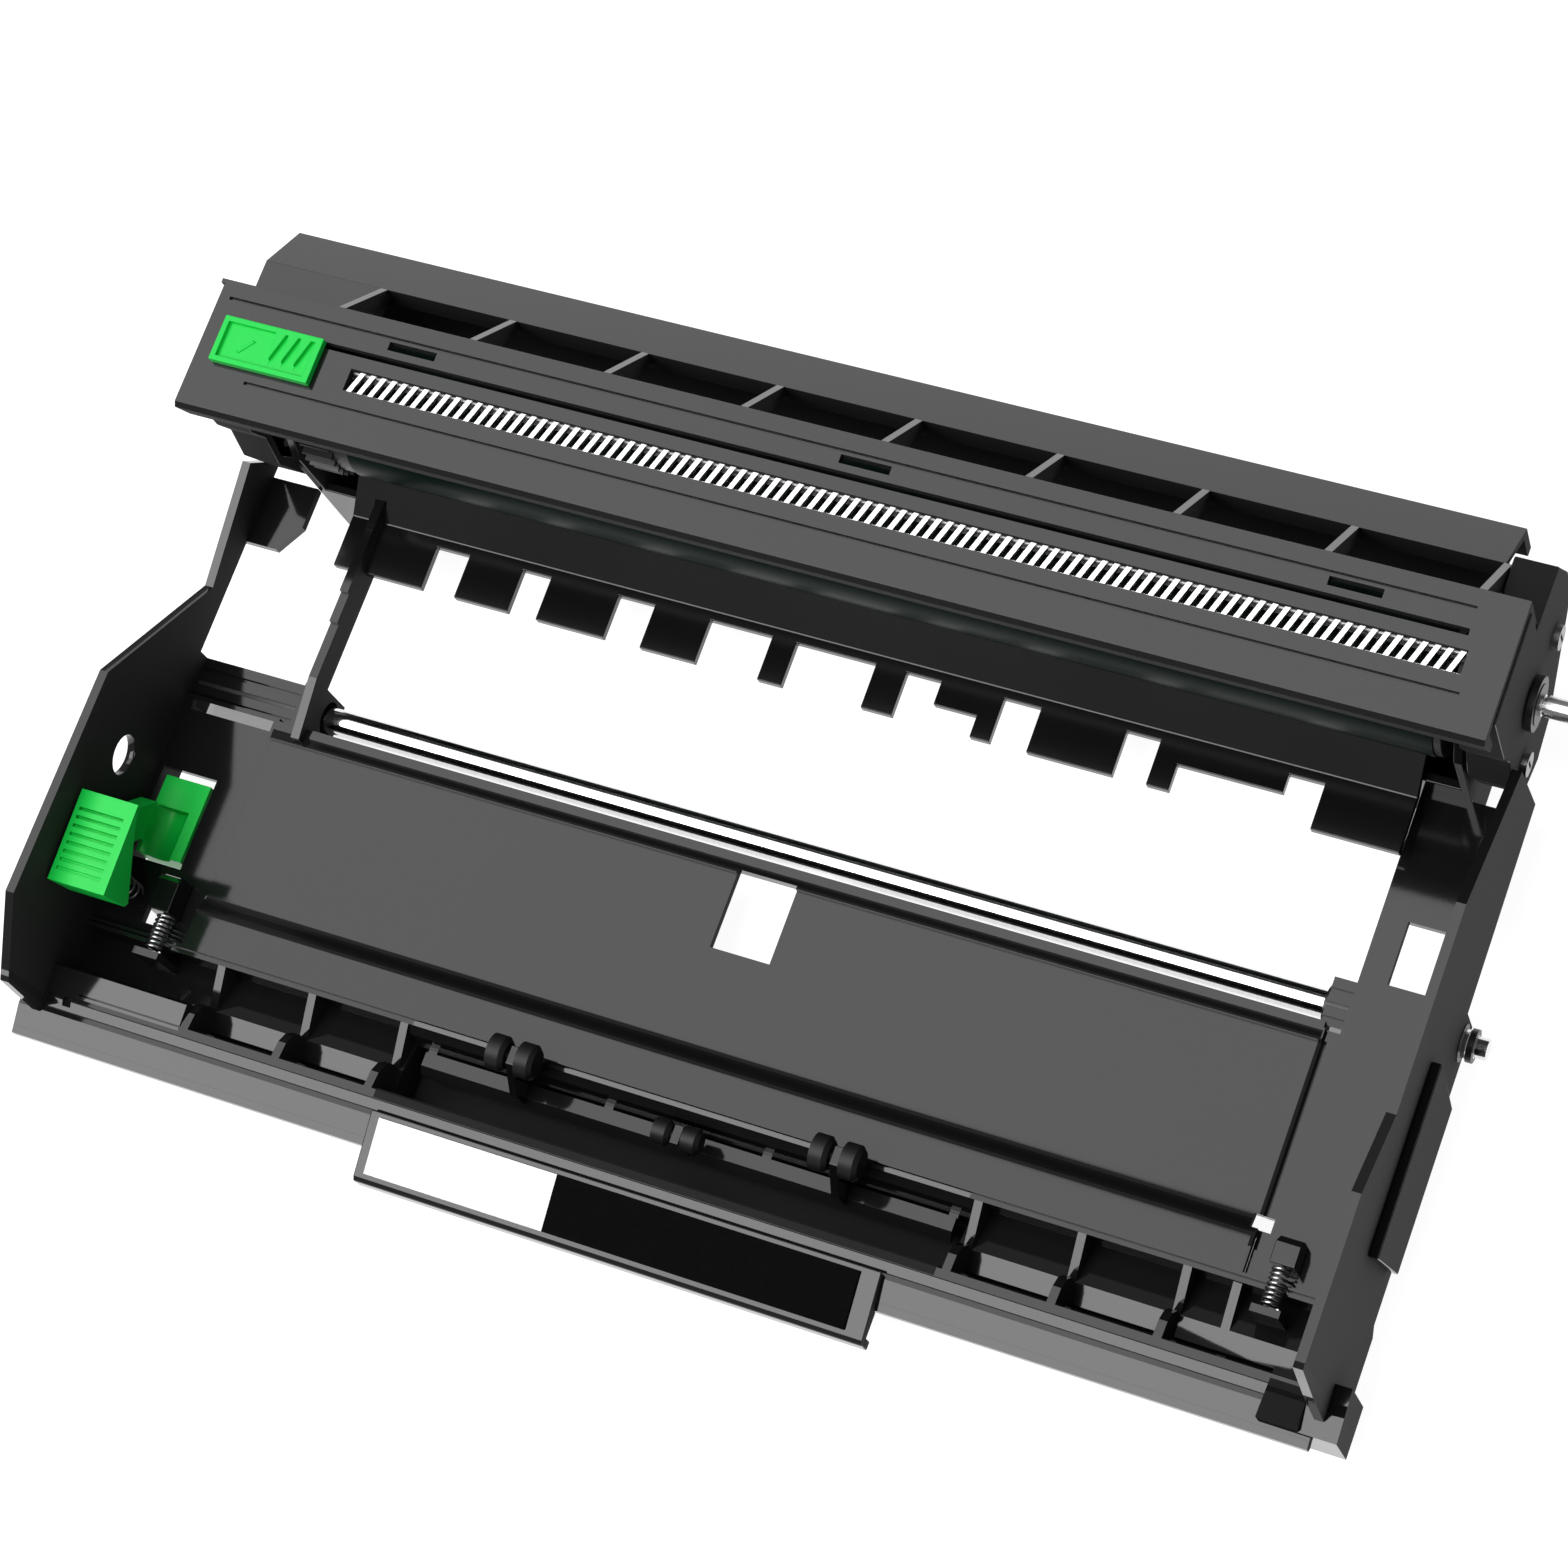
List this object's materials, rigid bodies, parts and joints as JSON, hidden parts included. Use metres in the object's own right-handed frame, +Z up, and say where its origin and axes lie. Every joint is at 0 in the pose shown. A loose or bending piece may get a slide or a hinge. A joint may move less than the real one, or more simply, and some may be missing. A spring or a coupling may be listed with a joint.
{
  "type": "printer drum unit",
  "caption": "Tray-shaped drum unit: open black frame for a toner cartridge, rear drum housing with charger slot, transfer roller, green cleaner tab and lock lever.",
  "frame": {"origin": "centre of the whole unit's bounding box, on the plane it rests on", "axes": "+X to the unit's right end (free shaft ends), +Y to the rear where the drum housing is, +Z up"},
  "size_m": [0.3034, 0.1886, 0.072],
  "materials": {
    "frame_plastic": "black moulded plastic, semi-gloss",
    "cover_plastic": "black moulded plastic, semi-gloss",
    "guide_plastic": "black moulded plastic, glossy",
    "roller_plastic": "dark grey plastic",
    "drum_coating": "dark green-black photoconductor coating, glossy; the tube under it is aluminium",
    "gear_plastic": "black gear plastic",
    "shaft_steel": "ground steel",
    "rod_chrome": "bright ground steel",
    "foam_rubber": "dark foam rubber",
    "bush_plastic": "black bearing plastic",
    "spring_steel": "spring wire",
    "spring_black": "black oiled spring wire",
    "sheet_steel": "bright steel sheet",
    "wire_metal": "fine drawn wire",
    "green_plastic": "bright green plastic",
    "label_film": "white and black label film, bare",
    "screw_steel": "plated screws"
  },
  "bodies": {
    "frame": {"main_frame": "frame_plastic", "pull_handle": "frame_plastic", "rear_trough": "frame_plastic", "transfer_guide": "guide_plastic", "drum_cover": "cover_plastic", "end_cap_left": "cover_plastic", "end_cap_right": "cover_plastic", "drum_shaft": "shaft_steel", "drum_bush_left": "bush_plastic", "drum_bush_right": "bush_plastic", "transfer_bearing_left": "bush_plastic", "transfer_bearing_right": "bush_plastic", "bearing_spring_left": "spring_steel", "bearing_spring_right": "spring_steel", "rod_bush_left": "bush_plastic", "rod_bush_right": "bush_plastic", "charger_case": "sheet_steel", "wire_holder_left": "bush_plastic", "wire_holder_right": "bush_plastic", "corona_wire": "wire_metal", "charger_grid": "sheet_steel", "lever_pin": "shaft_steel", "lever_spring": "spring_black", "push_spring_left": "spring_steel", "push_spring_right": "spring_steel", "roller_bracket_left": "guide_plastic", "roller_bracket_middle": "guide_plastic", "roller_bracket_right": "guide_plastic", "label_plate": "label_film", "side_guard": "frame_plastic", "cap_screws": "screw_steel"},
    "drum": {"drum_tube": "drum_coating", "drum_gear": "gear_plastic", "drum_flange": "gear_plastic"},
    "transfer_roller": {"transfer_sleeve": "foam_rubber", "transfer_shaft": "shaft_steel", "transfer_gear": "gear_plastic"},
    "rod": {"pinch_rod": "rod_chrome", "rod_collar": "bush_plastic"},
    "cleaner": {"cleaner_tab": "green_plastic", "cleaner_pad": "foam_rubber"},
    "lever": {"lock_lever": "green_plastic"},
    "pusher_left": {"push_block_left": "guide_plastic"},
    "pusher_right": {"push_block_right": "guide_plastic"},
    "roller_left": {"guide_roller_left": "roller_plastic"},
    "roller_middle": {"guide_roller_middle": "roller_plastic"},
    "roller_right": {"guide_roller_right": "roller_plastic"}
  },
  "joints": [
    {"name": "drum_spin", "type": "hinge", "parent": "frame", "child": "drum", "pos_m": [-0.00325, 0.0617, 0.042], "axis": [1, 0, 0], "continuous": true},
    {"name": "transfer_spin", "type": "hinge", "parent": "frame", "child": "transfer_roller", "pos_m": [-0.00325, 0.0617, 0.0197], "axis": [1, 0, 0], "continuous": true},
    {"name": "rod_spin", "type": "hinge", "parent": "frame", "child": "rod", "pos_m": [-0.00325, 0.001, 0.008], "axis": [1, 0, 0], "continuous": true},
    {"name": "cleaner_slide", "type": "slide", "parent": "frame", "child": "cleaner", "axis": [1, 0, 0], "range_m": [0, 0.24]},
    {"name": "lever_press", "type": "hinge", "parent": "frame", "child": "lever", "pos_m": [-0.00325, -0.0333, 0.0095], "axis": [1, 0, 0], "range_deg": [0, 9], "stiffness_Nm_per_rad": 0.6, "springref_deg": -14.32, "deforming": ["lever_spring"]},
    {"name": "push_left", "type": "slide", "parent": "frame", "child": "pusher_left", "axis": [0, -1, 0], "range_m": [0, 0.003], "stiffness_N_per_m": 900, "springref_m": -0.004, "deforming": ["push_spring_left"]},
    {"name": "push_right", "type": "slide", "parent": "frame", "child": "pusher_right", "axis": [0, -1, 0], "range_m": [0, 0.0025], "stiffness_N_per_m": 900, "springref_m": -0.004, "deforming": ["push_spring_right"]},
    {"name": "roller_left_spin", "type": "hinge", "parent": "frame", "child": "roller_left", "pos_m": [-0.03965, -0.0605, 0.0226], "axis": [1, 0, 0], "continuous": true},
    {"name": "roller_middle_spin", "type": "hinge", "parent": "frame", "child": "roller_middle", "pos_m": [-0.00165, -0.0653, 0.0184], "axis": [1, 0, 0], "continuous": true},
    {"name": "roller_right_spin", "type": "hinge", "parent": "frame", "child": "roller_right", "pos_m": [0.03315, -0.0605, 0.0226], "axis": [1, 0, 0], "continuous": true}
  ],
  "couplings": [
    {"joint": "transfer_spin", "follows": "drum_spin", "ratio": -2.1111}
  ]
}
